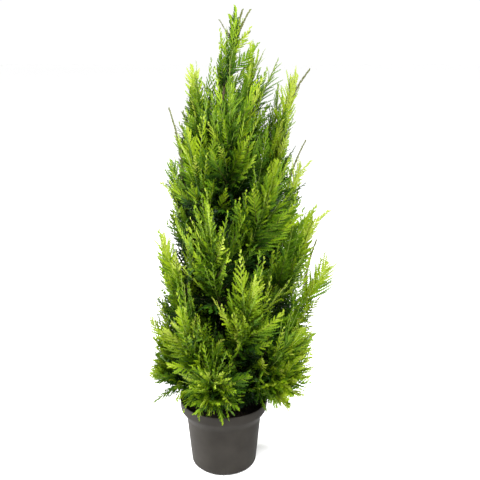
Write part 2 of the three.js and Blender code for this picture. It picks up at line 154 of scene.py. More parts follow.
def mottle_colour(tree, patches, dark, light):
    ramp = tree.nodes.new("ShaderNodeValToRGB")
    ramp.color_ramp.elements[0].position = NOISE_LOW
    ramp.color_ramp.elements[0].color = (*dark, 1)
    ramp.color_ramp.elements[1].position = NOISE_HIGH
    ramp.color_ramp.elements[1].color = (*light, 1)
    tree.links.new(patches.outputs["Fac"], ramp.inputs["Fac"])
    tree.links.new(ramp.outputs["Color"], tree.nodes["Principled BSDF"].inputs["Base Color"])


def vary_roughness(tree, grain, rough_range):
    spread = tree.nodes.new("ShaderNodeMapRange")
    spread.inputs["From Min"].default_value = NOISE_LOW
    spread.inputs["From Max"].default_value = NOISE_HIGH
    spread.inputs["To Min"].default_value = rough_range[0]
    spread.inputs["To Max"].default_value = rough_range[1]
    tree.links.new(grain.outputs["Fac"], spread.inputs["Value"])
    tree.links.new(spread.outputs["Result"], tree.nodes["Principled BSDF"].inputs["Roughness"])


def raise_bump(tree, grain, bump_mm):
    bump = tree.nodes.new("ShaderNodeBump")
    bump.inputs["Strength"].default_value = 1
    bump.inputs["Distance"].default_value = bump_mm * MM
    tree.links.new(grain.outputs["Fac"], bump.inputs["Height"])
    tree.links.new(bump.outputs["Normal"], tree.nodes["Principled BSDF"].inputs["Normal"])


print("noise used from", NOISE_LOW, "to", NOISE_HIGH)

# %% Mottled finishes
PATCH_DETAIL, GRAIN_DETAIL = 6, 3
BARK_STRETCH = (1, 1, 0.2)


def mottled_finish(
    name, dark, light, rough_range, patch_scale, grain_scale, bump_mm, gloss=0.5, stretch=(1, 1, 1)
):
    finish = plain_finish(name, light, rough_range[1], gloss)
    tree = finish.node_tree
    patches = noise_node(tree, patch_scale, PATCH_DETAIL, stretch)
    mottle_colour(tree, patches, dark, light)
    grain = noise_node(tree, grain_scale, GRAIN_DETAIL, stretch)
    vary_roughness(tree, grain, rough_range)
    raise_bump(tree, grain, bump_mm)
    return finish


pot_plastic = mottled_finish(
    "pot plastic", dark=(0.0184, 0.0164, 0.0142), light=(0.0244, 0.0220, 0.0190), rough_range=(0.5, 0.66),
    patch_scale=18, grain_scale=900, bump_mm=0.06, gloss=0.04,
)
compost_finish = mottled_finish(
    "potting compost", dark=(0.003, 0.002, 0.0015), light=(0.016, 0.010, 0.007), rough_range=(0.9, 1),
    patch_scale=90, grain_scale=420, bump_mm=1.2, gloss=0.15,
)
bark = mottled_finish(
    "cypress bark", dark=(0.03, 0.018, 0.010), light=(0.14, 0.09, 0.055), rough_range=(0.75, 0.95),
    patch_scale=120, grain_scale=300, bump_mm=0.8, stretch=BARK_STRETCH,
)
print("mottled finishes:", [finish.name for finish in (pot_plastic, compost_finish, bark)])

# %% [markdown]
# ## The pot
# A nursery pot is one thin moulded shell: a tapering wall, a shoulder that widens to an upright rim band,
# and grooves under its edge that let water out. A cylinder could be scaled ring by ring, but the pot is
# round, so its section is drawn once and spun about the upright axis. Bevels then round the lip and both
# ends of the shoulder. The grooves and their holes are cut with a Boolean, which is applied at once so
# that the piece is a plain mesh.

# %% The pot's section
POT_HEIGHT, RIM_RADIUS, RIM_BAND, SHOULDER_DROP = 205, 126, 25, 34
WALL_TOP_RADIUS, FOOT_RADIUS, FOOT_ROUND = 107, 93, 14
POT_WALL, POT_FLOOR = 2.6, 7
BAND_LEAN, BAND_INNER_LEAN = 1, 1.5
LIP_INSET, LIP_DROP, FLOOR_CORNER = 1, 3, 6
SHOULDER_EASE, SHOULDER_STEPS, FOOT_STEP_DEGREES = 1.25, 10, 15
wall_top = POT_HEIGHT - RIM_BAND - SHOULDER_DROP
band_foot = POT_HEIGHT - RIM_BAND
wall_lean = (WALL_TOP_RADIUS - FOOT_RADIUS) / wall_top * SHOULDER_DROP


def blend(start, end, share):
    return start + (end - start) * share


def ease(value, start, end):
    share = np.clip((value - start) / (end - start), 0, 1)
    return share * share * (3 - 2 * share)


def wall_radius(height):
    return blend(FOOT_RADIUS, WALL_TOP_RADIUS, height / wall_top)


def shoulder_radius(share):
    widening = RIM_RADIUS - BAND_LEAN - WALL_TOP_RADIUS
    widened = widening * ease(share, 0, SHOULDER_EASE) / ease(1, 0, SHOULDER_EASE)
    return WALL_TOP_RADIUS + widened + wall_lean * share * (1 - share) ** 2


foot_arc = [
    (wall_radius(FOOT_ROUND) - FOOT_ROUND * (1 - math.sin(turn)), FOOT_ROUND * (1 - math.cos(turn)))
    for turn in np.radians(range(0, 91, FOOT_STEP_DEGREES))
]
shoulder = [
    (shoulder_radius(share), blend(wall_top, band_foot, share))
    for share in np.linspace(0, 1, SHOULDER_STEPS + 1)
]
lip = [
    (RIM_RADIUS, POT_HEIGHT - LIP_DROP),
    (RIM_RADIUS - LIP_INSET, POT_HEIGHT),
    (RIM_RADIUS - POT_WALL, POT_HEIGHT),
]
inside = [
    (RIM_RADIUS - POT_WALL - BAND_INNER_LEAN, band_foot),
    (WALL_TOP_RADIUS - POT_WALL, wall_top),
    (wall_radius(POT_FLOOR) - POT_WALL - FLOOR_CORNER, POT_FLOOR),
    (0, POT_FLOOR),
]
pot_section = [(0, 0), *foot_arc, *shoulder, *lip, *inside]
print("points in the pot's section:", len(pot_section))

# %% Spin and round the pot
SPIN_STEPS = 96
SAME_POINT, ON_RING = 1e-6, 1e-5
LIP_ROUNDS, SHOULDER_ROUND = (1.2, 0.5, 0.8), 3


def turned(section):
    shell = bmesh.new()
    points = [shell.verts.new((radius * MM, 0, height * MM)) for radius, height in section]
    lines = [shell.edges.new(pair) for pair in zip(points, points[1:])]
    bmesh.ops.spin(
        shell, geom=points + lines, cent=(0, 0, 0), axis=(0, 0, 1), angle=math.tau, steps=SPIN_STEPS,
        use_merge=True,
    )
    bmesh.ops.remove_doubles(shell, verts=shell.verts, dist=SAME_POINT)
    bmesh.ops.recalc_face_normals(shell, faces=shell.faces)
    return shell


def ring_edges(shell, radius, height):
    def on_ring(vertex):
        near_radius = abs(math.hypot(vertex.co.x, vertex.co.y) - radius * MM) < ON_RING
        return near_radius and abs(vertex.co.z - height * MM) < ON_RING

    return [edge for edge in shell.edges if all(on_ring(vertex) for vertex in edge.verts)]


pot_shell = turned(pot_section)
rounds = [*zip(lip, LIP_ROUNDS), (shoulder[0], SHOULDER_ROUND), (shoulder[-1], SHOULDER_ROUND)]
for (radius, height), offset in rounds:
    ring = ring_edges(pot_shell, radius, height)
    bmesh.ops.bevel(
        pot_shell, geom=ring, offset=offset * MM, affect="EDGES", segments=3, profile=0.5, material=-1
    )
print("faces of the spun pot:", len(pot_shell.faces))


# %% The pot as a piece
def new_piece(name, mesh, finish, nodes):
    piece = bpy.data.objects.new(name, mesh)
    mesh.materials.append(finish)
    scene.collection.objects.link(piece)
    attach(piece, "root")
    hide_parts(*nodes)
    return piece


def piece_from(shell, name, finish, nodes, crease_degrees):
    mesh = bpy.data.meshes.new(name)
    shell.to_mesh(mesh)
    shell.free()
    mesh.shade_smooth()
    mesh.set_sharp_from_angle(angle=math.radians(crease_degrees))
    return new_piece(name, mesh, finish, nodes)


pot = piece_from(pot_shell, "nursery_pot", pot_plastic, ["pot"], crease_degrees=40)
print("piece:", pot.name)

# %% Drainage
DRAIN_COUNT, DRAIN_TURN = 5, math.radians(-71)
DRAIN_WIDTH, DRAIN_REACH, DRAIN_HEIGHT = 46, 26, 3.5
DRAIN_HOLE_RADIUS, DRAIN_HOLE_SIDES = 6, 20
hole_place = FOOT_RADIUS - DRAIN_REACH / 2


def cut_away(piece, cutter_shell):
    cutter_mesh = bpy.data.meshes.new("cutter")
    cutter_shell.to_mesh(cutter_mesh)
    cutter_shell.free()
    cutter = bpy.data.objects.new("cutter", cutter_mesh)
    scene.collection.objects.link(cutter)
    boolean = piece.modifiers.new("cut", "BOOLEAN")
    boolean.object = cutter
    boolean.operation = "DIFFERENCE"
    boolean.solver = "EXACT"
    with bpy.context.temp_override(object=piece, active_object=piece):
        bpy.ops.object.modifier_apply(modifier=boolean.name)
    bpy.data.objects.remove(cutter)
    bpy.data.meshes.remove(cutter_mesh)


grooves, holes = bmesh.new(), bmesh.new()
for turn in DRAIN_TURN + np.arange(DRAIN_COUNT) * math.tau / DRAIN_COUNT:
    spoke = Matrix.Rotation(turn, 4, "Z")
    groove_size = Matrix.Diagonal((2 * DRAIN_REACH * MM, DRAIN_WIDTH * MM, 2 * DRAIN_HEIGHT * MM, 1))
    groove_place = spoke @ Matrix.Translation((FOOT_RADIUS * MM, 0, 0))
    bmesh.ops.create_cube(grooves, size=1, matrix=groove_place @ groove_size)
    bmesh.ops.create_cone(
        holes, cap_ends=True, segments=DRAIN_HOLE_SIDES, radius1=DRAIN_HOLE_RADIUS * MM,
        radius2=DRAIN_HOLE_RADIUS * MM, depth=4 * POT_FLOOR * MM,
        matrix=spoke @ Matrix.Translation((hole_place * MM, 0, 0)),
    )
cut_away(pot, grooves)
cut_away(pot, holes)
print("faces of the pot with its drainage:", len(pot.data.polygons))

# %% [markdown]
# ## The compost
# Potting compost is a dark, lumpy fill that stands a little higher round the trunk. A spun cushion of
# many rings is roughened with noise, and loose crumbs lie on it. A crumb could be a small sphere, but a
# squashed octahedron of eight faces looks as rough. There are many, so they are worked out as arrays and
# joined into one mesh.

# %% Compost bed
COMPOST_TOP, COMPOST_EDGE, COMPOST_RADIUS = 184, 178, 119.5
MOUND_RADIUS, MOUND_SLOPE, SURFACE_STEP = 34, 86, 3
BED_GAP, BED_FOOT_RADIUS, BED_WALL_RADIUS = 0.3, 84, 103.4
LUMPS_ABOVE, LUMPS_FROM, LUMPS_INSET, LUMPS_SUNK = 170, 18, 1, 1.2
LUMPS = ((70, 2.2), (210, 1.3))


def compost_height(out):
    return blend(COMPOST_EDGE, COMPOST_TOP, 1 - np.clip((out - MOUND_RADIUS) / MOUND_SLOPE, 0, 1))


bed_foot = POT_FLOOR + BED_GAP
bed_sides = [(0, bed_foot), (BED_FOOT_RADIUS, bed_foot), (BED_WALL_RADIUS, wall_top)]
surface = [(out, compost_height(out)) for out in np.arange(COMPOST_RADIUS, 0, -SURFACE_STEP)]
bed_shell = turned([*bed_sides, *surface, (0, COMPOST_TOP)])
for vertex in bed_shell.verts:
    out = math.hypot(vertex.co.x, vertex.co.y) / MM
    if vertex.co.z / MM > LUMPS_ABOVE and LUMPS_FROM < out < COMPOST_RADIUS - LUMPS_INSET:
        lumps = sum(noise.noise(vertex.co * scale) * height for scale, height in LUMPS)
        vertex.co.z += (lumps - LUMPS_SUNK) * MM
bed = piece_from(bed_shell, "compost_bed", compost_finish, ["compost"], crease_degrees=180)
print("faces of the compost bed:", len(bed.data.polygons))

# %% Crumbs
CRUMB_COUNT, CRUMB_SEED = 1500, 5
CRUMBS_REACH, CLEAR_MIDDLE, CRUMB_SUNK = 114, 0.03, 0.2
CRUMB_RADII, CRUMB_UNEVENNESS, CRUMB_FLATNESS = (0.8, 2.6), (0.5, 1.3), 0.7
OCTAHEDRON = np.array([(1, 0, 0), (0, 1, 0), (-1, 0, 0), (0, -1, 0), (0, 0, 1), (0, 0, -1)], float)
OCTAHEDRON_FACES = [(0, 1, 4), (1, 2, 4), (2, 3, 4), (3, 0, 4), (1, 0, 5), (2, 1, 5), (3, 2, 5), (0, 3, 5)]


def joined_mesh(name, shapes, faces):
    corners_each = shapes[0].size // 3
    all_faces = np.asarray(faces)[None] + corners_each * np.arange(len(shapes))[:, None, None]
    mesh = bpy.data.meshes.new(name)
    mesh.from_pydata(shapes.reshape(-1, 3) * MM, [], all_faces.reshape(-1, all_faces.shape[-1]))
    mesh.update()
    return mesh


chance = np.random.default_rng(CRUMB_SEED)
out = np.sqrt(chance.uniform(CLEAR_MIDDLE, 1, CRUMB_COUNT)) * CRUMBS_REACH
turn = chance.uniform(0, math.tau, CRUMB_COUNT)
spot = np.stack([out * np.cos(turn), out * np.sin(turn), compost_height(out) - CRUMB_SUNK], 1)
girth = chance.uniform(*CRUMB_RADII, (CRUMB_COUNT, 1, 1))
crumb = OCTAHEDRON * (girth * chance.uniform(*CRUMB_UNEVENNESS, (CRUMB_COUNT, 6, 3)))
lean = chance.uniform(0, math.tau, CRUMB_COUNT)[:, None]
spun = np.stack([
    crumb[..., 0] * np.cos(lean) - crumb[..., 1] * np.sin(lean),
    crumb[..., 0] * np.sin(lean) + crumb[..., 1] * np.cos(lean),
    crumb[..., 2] * CRUMB_FLATNESS,
], 2)
crumb_mesh = joined_mesh("compost_crumbs", spun + spot[:, None], OCTAHEDRON_FACES)
new_piece("compost_crumbs", crumb_mesh, compost_finish, ["compost"])
print("crumbs:", CRUMB_COUNT)

# %% [markdown]
# ## The trunk and the rule of the crown
# The trunk is almost straight, with a root flare at the compost and a slight bend under the leader.
# Shoots leave it in a spiral, each a golden angle round from the one below, as buds do on the real plant.
# Low shoots arch out over the rim, higher ones sweep up. Each could be drawn by hand as a curve, but one
# rule keeps thirty of them in step. The numbers are those of the solids, so bark and leaves made from
# them lie where the solids are.

# %% Trunk line
TREE_TOP, TRUNK_FOOT, TRUNK_TOP = 1300, 184.3, 1075
TRUNK_FOOT_RADIUS, TRUNK_RADIUS, TRUNK_TOP_RADIUS, FLARE_HEIGHT = 16, 10.5, 3.4, 45
TRUNK_SWAY, LEADER_SHIFT, LEADER_BEND_FROM, LEADER_BEND_TO = 7, 34, 1040, 1235
UP = np.array([0.0, 0, 1])


def unit(vectors):
    return vectors / np.linalg.norm(vectors, axis=-1, keepdims=True)


def trunk_at(height):
    share = np.clip((height - TRUNK_FOOT) / (TRUNK_TOP - TRUNK_FOOT), 0, 1)
    sway = TRUNK_SWAY * np.sin(np.pi * share) ** 2
    shift = LEADER_SHIFT * ease(height, LEADER_BEND_FROM, LEADER_BEND_TO)
    return np.array([sway + shift, 0, height])


def trunk_radius(height):
    taper = blend(TRUNK_RADIUS, TRUNK_TOP_RADIUS, (height - TRUNK_FOOT) / (TRUNK_TOP - TRUNK_FOOT))
    flare = (1 - ease(height, TRUNK_FOOT, TRUNK_FOOT + FLARE_HEIGHT)) ** 2
    return taper + (TRUNK_FOOT_RADIUS - TRUNK_RADIUS) * flare


def trunk_path(low, high):
    def path(share):
        height = blend(low, high, share)
        return trunk_at(height), unit(trunk_at(height + 1) - trunk_at(height - 1))

    return path


print("trunk from", TRUNK_FOOT, "to", TRUNK_TOP, "mm, leader up to", TREE_TOP)

# %% The crown's outline
LOWEST_TIP, HIGHEST_TIP = 232, 1195
SKIRT_REACH, WIDEST_REACH, WIDEST_HEIGHT, TOP_REACH, SHOULDER_ROUNDNESS = 238, 238, 470, 111, 1.6
FULLER_SKIRT, FULLER_TOP = 0.099, 0.26


def crown_reach(height):
    low = blend(SKIRT_REACH, WIDEST_REACH, (height - LOWEST_TIP) / (WIDEST_HEIGHT - LOWEST_TIP))
    above = np.clip((height - WIDEST_HEIGHT) / (HIGHEST_TIP - WIDEST_HEIGHT), 0, None)
    high = blend(WIDEST_REACH, TOP_REACH, above**SHOULDER_ROUNDNESS)
    return np.where(height < WIDEST_HEIGHT, low, high)


def fullness(height, x):
    up = np.clip((height - LOWEST_TIP) / (HIGHEST_TIP - LOWEST_TIP), 0, 1)
    return 1 + blend(FULLER_SKIRT, FULLER_TOP, up) * x


print("reach of the crown at its foot and top:", SKIRT_REACH, "and", TOP_REACH, "mm")

# %% Shoots of the spiral
SHOOT_COUNT, SHOOTS_WITH_BOUGH = 30, 22
GOLDEN_ANGLE, FIRST_AZIMUTH = math.radians(137.5), math.radians(166)
SKIRT_TURN, SKIRT_TURN_UNTIL = math.radians(-45), 0.3
TIP_CROWDING = 1.12
SKIRT_RISE, CROWN_RISE, RISE_GROWS_UNTIL, RISE_LAG = 4, 371, 0.463, 1.15
SKIRT_ARCH, CROWN_ARCH, BEND_REACH = 62, 0.22, 0.62
SKIRT_DROOP, CROWN_LIFT, LIFT_GROWS_UNTIL = -0.079, 0.24, 0.35
LENGTH_SAMPLES = 60
# Shoots, counted from 0, whose tip stands higher or lower than the spiral's, or reaches further in or out.
STRONG_SHOOTS = {25: 92, 28: 45, 29: -38}
WIDE_SHOOTS = {1: -75, 12: 45, 20: 45}


def shoot_at(order):
    share = order / (SHOOT_COUNT - 1)
    azimuth = FIRST_AZIMUTH + order * GOLDEN_ANGLE + SKIRT_TURN * (1 - ease(share, 0, SKIRT_TURN_UNTIL))
    outward = np.array([math.cos(azimuth), math.sin(azimuth), 0])
    spiral_tip = blend(LOWEST_TIP, HIGHEST_TIP, share**TIP_CROWDING)
    reach = float(crown_reach(spiral_tip) * fullness(spiral_tip, outward[0])) + WIDE_SHOOTS.get(order, 0)
    grown = min(share / RISE_GROWS_UNTIL, 1) ** RISE_LAG
    rise = blend(SKIRT_RISE, CROWN_RISE, grown)
    arch = blend(SKIRT_ARCH, CROWN_ARCH * rise, grown)
    fork = trunk_at(spiral_tip - rise)
    bend = fork + outward * BEND_REACH * reach + UP * arch
    tip = fork + outward * reach
    tip[2] = spiral_tip + STRONG_SHOOTS.get(order, 0)

    def path(t):
        point = (1 - t) ** 2 * fork + 2 * t * (1 - t) * bend + t**2 * tip
        return point, unit((1 - t) * (bend - fork) + t * (tip - bend))

    points = np.array([path(t)[0] for t in np.linspace(0, 1, LENGTH_SAMPLES)])
    return SimpleNamespace(
        order=order, number=order + 1, path=path, outward=outward, tip=tip, bare=order < SHOOTS_WITH_BOUGH,
        length=np.linalg.norm(np.diff(points, axis=0), axis=1).sum(),
        lift=blend(SKIRT_DROOP, CROWN_LIFT, ease(share, 0, LIFT_GROWS_UNTIL)),
    )


shoots = [shoot_at(order) for order in range(SHOOT_COUNT)]
print("shoots:", len(shoots), "the longest", round(max(shoot.length for shoot in shoots)), "mm")

# %% [markdown]
# ## Bark
# Lawson cypress has thin brown bark with shallow upright ridges. A limb could be a skinned line of
# vertices, but extruding a disc along the limb's path gives control of every ring. Each new ring is moved
# from the last one's place to its own by one matrix. Noise along the normals then gives the ridges. The
# trunk, the boughs and the stems inside the foliage are three pieces.

# %% Trunk
TRUNK_SIDES, TRUNK_RINGS = 24, 70
TRUNK_RIDGE_DEPTH, TRUNK_RIDGE_SCALE, RIDGE_STRETCH = 1.1, 260, 0.15
BARK_CREASE = 60
BACKWARD = np.array([0.0, 1, 0])


def extrude_limb(shell, path, across, radius_at, sides, rings):
    def ring_place(share):
        point, tangent = path(share)
        columns = np.stack([across, np.cross(tangent, across), tangent], 1) * radius_at(share)
        return Matrix.Translation(point * MM) @ Matrix(columns * MM).to_4x4()

    disc = bmesh.ops.create_circle(shell, cap_ends=True, segments=sides, radius=1, matrix=ring_place(0))
    cap = disc["verts"][0].link_faces[0]
    for ring in range(1, rings + 1):
        grown = bmesh.ops.extrude_face_region(shell, geom=[cap])["geom"]
        cap = next(element for element in grown if isinstance(element, bmesh.types.BMFace))
        step = ring_place(ring / rings) @ ring_place((ring - 1) / rings).inverted()
        bmesh.ops.transform(shell, matrix=step, verts=cap.verts)


def ridge(shell, depth_mm, scale):
    bmesh.ops.recalc_face_normals(shell, faces=shell.faces)
    shell.normal_update()
    for vertex in shell.verts:
        spot = Vector((vertex.co.x * scale, vertex.co.y * scale, vertex.co.z * scale * RIDGE_STRETCH))
        vertex.co += vertex.normal * noise.noise(spot) * depth_mm * MM


trunk_shell = bmesh.new()
extrude_limb(
    trunk_shell, trunk_path(TRUNK_FOOT, TRUNK_TOP), BACKWARD,
    lambda share: trunk_radius(blend(TRUNK_FOOT, TRUNK_TOP, share)), TRUNK_SIDES, TRUNK_RINGS,
)
ridge(trunk_shell, TRUNK_RIDGE_DEPTH, TRUNK_RIDGE_SCALE)
for vertex in trunk_shell.verts:
    vertex.co.z = max(vertex.co.z, TRUNK_FOOT * MM)
trunk = piece_from(trunk_shell, "trunk_bark", bark, ["trunk"], BARK_CREASE)
print("faces of the trunk:", len(trunk.data.polygons))

# %% Boughs and stems
BOUGH_RADIUS, BOUGH_TIP_RADIUS, STEM_TIP_RADIUS = 4.6, 3.3, 1.6
BOUGH_END, STEM_START, STEM_END, LEADER_STEM = 0.25, 0.01, 0.72, 0.5
BOUGH_SIDES, BOUGH_RINGS, STEM_SIDES, STEM_RINGS, LEADER_RINGS = 8, 6, 6, 12, 8
LIMB_RIDGE_DEPTH, LIMB_RIDGE_SCALE = 0.5, 300
leader_stem_top = blend(TRUNK_TOP, TREE_TOP, LEADER_STEM)


def stretch(shoot, start, end):
    return lambda share: shoot.path(blend(start, end, share))


def tapering(start_radius, end_radius):
    return lambda share: blend(start_radius, end_radius, share)


bough_shell, stem_shell = bmesh.new(), bmesh.new()
bough_taper = tapering(BOUGH_RADIUS, BOUGH_TIP_RADIUS)
stem_taper = tapering(BOUGH_TIP_RADIUS, STEM_TIP_RADIUS)
for shoot in shoots:
    across = np.cross(UP, shoot.outward)
    if shoot.bare:
        bough_path = stretch(shoot, 0, BOUGH_END)
        extrude_limb(bough_shell, bough_path, across, bough_taper, BOUGH_SIDES, BOUGH_RINGS)
    stem_path = stretch(shoot, BOUGH_END if shoot.bare else STEM_START, STEM_END)
    extrude_limb(stem_shell, stem_path, across, stem_taper, STEM_SIDES, STEM_RINGS)
leader_path = trunk_path(TRUNK_TOP, leader_stem_top)
leader_taper = tapering(TRUNK_TOP_RADIUS, STEM_TIP_RADIUS)
extrude_limb(stem_shell, leader_path, BACKWARD, leader_taper, STEM_SIDES, LEADER_RINGS)

bough_nodes = [f"bough_{shoot.number:02d}" for shoot in shoots if shoot.bare]
foliage_nodes = [f"foliage_{shoot.number:02d}" for shoot in shoots] + ["foliage_leader"]
limbs = {"bough_bark": (bough_shell, bough_nodes), "stem_bark": (stem_shell, foliage_nodes)}
for name, (shell, nodes) in limbs.items():
    ridge(shell, LIMB_RIDGE_DEPTH, LIMB_RIDGE_SCALE)
    piece_from(shell, name, bark, nodes, BARK_CREASE)
print("boughs:", len(bough_nodes), "stems:", len(foliage_nodes))

# %% [markdown]
# ## Fronds
# A lawson cypress carries its leaves in flat fronds. A frond has a rachis down its middle, branchlets to
# left and right in turn, and short scaly twiglets on those. One frond could be modelled and scattered
# over the crown, but copies show and would cross each other. So each frond first is only a frame: a root,
# a direction, a bend, a length and a face. Its directions and sizes are thrown with dice from a seed, as
# those of the solids are, so that every run grows the same plant.

# %% Dice
SEED = 2812333921
DICE_FACTOR, DICE_STEP, DICE_SIDES = 1664525, 1013904223, 2**32


def dice(seed):
    state = seed % DICE_SIDES
    while True:
        state = (state * DICE_FACTOR + DICE_STEP) % DICE_SIDES
        yield state / DICE_SIDES


def between(low, high, roll):
    return blend(low, high, next(roll))


def either_way(most, roll):
    return (next(roll) - 0.5) * 2 * most


first_throws = dice(SEED)
print("first throws of the dice:", [round(next(first_throws), 3) for _ in range(3)])


# %% Frames
def turned_about(vector, axis, angle):
    across = np.cross(axis, vector)
    along_axis = axis * axis.dot(vector)
    return vector * math.cos(angle) + across * math.sin(angle) + along_axis * (1 - math.cos(angle))


def beside(line, outward, turn):
    return turned_about(unit(outward - line * outward.dot(line)), line, turn)


def opened(line, away, angle):
    return line * math.cos(angle) + away * math.sin(angle)


def frond(kind, root, along, bend, length, slimness, outward, twist, grain):
    face = beside(along, outward, twist)
    return SimpleNamespace(
        kind=kind, root=root, along=along, bend=bend, length=length, slimness=slimness, face=face,
        across=np.cross(face, along), grain=grain,
    )


def frond_to(target, kind, root, along, slimness, outward, twist, grain):
    reach = target - root
    bend = unit(reach) - along
    return frond(kind, root, along, bend, np.linalg.norm(reach), slimness, outward, twist, grain)


print("up, turned a quarter about the backward axis:", turned_about(UP, BACKWARD, math.pi / 2).round(3))

# %% [markdown]
# ## Masses of foliage
# Every shoot of the real plant carries one mass of foliage, and the leader carries a plume. Each mass
# could have its own list of numbers, but its habit follows from the shoot's place. Shoots of the skirt
# spread long fronds flat over the rim. Those above hold shorter ones and set the end frond on edge, and
# the upper ones have finer leaves and less need of shade inside. A mass also knows its path, where fronds
# leave the stem, and its line, which marks its space in the crown.

# %% Masses of the shoots
SIDE_SPRAYS, SPRAY_SHARE = 14, 0.52
LINE_START, LINE_END = 0.01, 0.95
SKIRT_LIFT, FIRST_UPPER_SHOOT = 0.04, 25
SKIRT_HABIT = {"end_twist": 0, "inner": 60, "inner_lengths": (0.5, 1.2)}
CROWN_HABIT = {"end_twist": math.pi / 2, "inner": 22, "inner_lengths": (0.35, 0.75)}
LOWER_HABIT = {"grain": 1.0, "tone": 0.0, "shade": 32}
UPPER_HABIT = {"grain": 0.8, "tone": -0.01, "shade": 18}
BOUGH_FROND_START, TRUNK_FROND_START = 0.25, 0.42
END_SLIMNESS, WIDE_END_SLIMNESS = 0.17, 0.28
LOW_SPREAD, HIGH_SPREAD = 1.0, 0.65
SKIRT_INNER_RISE = (-0.4, 2.0)
LEAST_RISE_SHOOTS, MOST_RISE, MOST_RISE_SHOOTS = 25, 1.6, 15


def crown_inner_rise(number):
    return number / LEAST_RISE_SHOOTS, MOST_RISE + number / MOST_RISE_SHOOTS


def shoot_mass(shoot):
    skirt = shoot.lift < SKIRT_LIFT
    upper = shoot.number >= FIRST_UPPER_SHOOT
    return SimpleNamespace(
        path=stretch(shoot, BOUGH_END if shoot.bare else 0, STEM_END),
        line=stretch(shoot, LINE_START, LINE_END),
        outward=shoot.outward, tip=shoot.tip, lift=shoot.lift, seed=shoot.number * SEED,
        sprays=SIDE_SPRAYS, spray_turn=0, spray_length=SPRAY_SHARE * shoot.length,
        spray_start=BOUGH_FROND_START if shoot.bare else TRUNK_FROND_START,
        end_slimness=WIDE_END_SLIMNESS if shoot.order in WIDE_SHOOTS else END_SLIMNESS,
        spread=blend(LOW_SPREAD, HIGH_SPREAD, shoot.number / SHOOT_COUNT),
        inner_rise=SKIRT_INNER_RISE if skirt else crown_inner_rise(shoot.number),
        **(SKIRT_HABIT if skirt else CROWN_HABIT), **(UPPER_HABIT if upper else LOWER_HABIT),
    )


masses = [shoot_mass(shoot) for shoot in shoots]
print("masses on shoots:", len(masses))

# %% Mass of the leader
LEADER_SPRAYS, LEADER_SPRAY_LENGTH = 12, 115
LEADER_PATH_FOOT, LEADER_LINE_FOOT = 960, 940
LEADER_FROND_START, LEADER_END_SLIMNESS, LEADER_SPREAD = 0.12, 0.13, 0.4
LEADER_HABIT = {"end_twist": 0, "inner": 0, "grain": 0.7, "tone": -0.1, "shade": 0}

masses.append(SimpleNamespace(
    path=trunk_path(LEADER_PATH_FOOT, leader_stem_top), line=trunk_path(LEADER_LINE_FOOT, TREE_TOP),
    outward=-BACKWARD, tip=trunk_at(TREE_TOP), lift=CROWN_LIFT, seed=(SHOOT_COUNT + 1) * SEED,
    sprays=LEADER_SPRAYS, spray_turn=GOLDEN_ANGLE / 2, spray_length=LEADER_SPRAY_LENGTH,
    spray_start=LEADER_FROND_START, end_slimness=LEADER_END_SLIMNESS, spread=LEADER_SPREAD, **LEADER_HABIT,
))
print("masses of foliage:", len(masses))

# %% [markdown]
# ## The fronds that the solids have
# One frond ends each stem, and others leave it to both sides. They follow the solids' rule throw by
# throw, so that leaves stand where the solids' sprays are. The solids keep only those that stand apart
# from each other. Here each one that has room grows.

# %% End and side fronds
TWIST_JITTER, ROLL_JITTER, SIDE_ROLL = math.radians(68), math.radians(40), math.radians(68)
OPEN_ANGLE, CLOSED_ANGLE, OPENING_RANGE = math.radians(52), math.radians(30), (0.85, 1.15)
LAST_SIDE_FROND, SIDE_LENGTHS = 0.96, (0.82, 1.18)
SLIMMEST, FULLEST, SLIMNESS_MIX = 0.13, 0.19, 7


def end_frond(mass, roll):
    point, tangent = mass.path(1)
    twist = mass.end_twist + either_way(TWIST_JITTER / 2, roll)
    return frond_to(mass.tip, "end", point, tangent, mass.end_slimness, mass.outward, twist, mass.grain)


def side_frond(mass, order, roll):
    share = blend(mass.spray_start, LAST_SIDE_FROND, order / (mass.sprays - 1))
    point, tangent = mass.path(share)
    side = 1 if order % 2 else -1
    turn = side * (SIDE_ROLL + either_way(ROLL_JITTER, roll)) + mass.spray_turn * order
    opening = blend(OPEN_ANGLE, CLOSED_ANGLE, share) * between(*OPENING_RANGE, roll)
    twist = either_way(TWIST_JITTER, roll)
    length = mass.spray_length * between(*SIDE_LENGTHS, roll)
    along = opened(tangent, beside(tangent, mass.outward, turn), opening)
    slimness = blend(SLIMMEST, FULLEST, (SLIMNESS_MIX * twist) % 1)
    bend = UP * mass.lift
    return frond("side", point, along, bend, length, slimness, mass.outward, twist, mass.grain)


print("length of the first end frond:", round(end_frond(masses[0], dice(SEED)).length), "mm")

# %% [markdown]
# ## Finer fronds
# The real crown is closed, so more fronds fill it. Larger leaves could fill it too, but then it would
# lose its feathery edge. Finer fronds leave the stem all round, inner ones reach out from the shoot's
# line in the depth of the mass, and two thin ones beside each end frond break up the tip.

# %% Fill and tip fronds
FINER_FRONDS, TIP_FRONDS = 18, 2
FINER_SPAN, FINER_OPENINGS, FINER_OPENING_RANGE = (0.08, 0.98), (46, 24), (0.3, 1.4)
FINER_LENGTHS, FINER_RISE, FINER_SWING = (0.5, 1.0), 0.15, (-0.15, 0.25)
INNER_SPAN, INNER_TURN, INNER_SWING = (0.2, 0.75), math.radians(70), (-0.2, 0.2)
TIP_SPAN, TIP_SIDE, TIP_RISE, TIP_SLIMNESS = (0.9, 1), 26, (-30, 8), 0.06


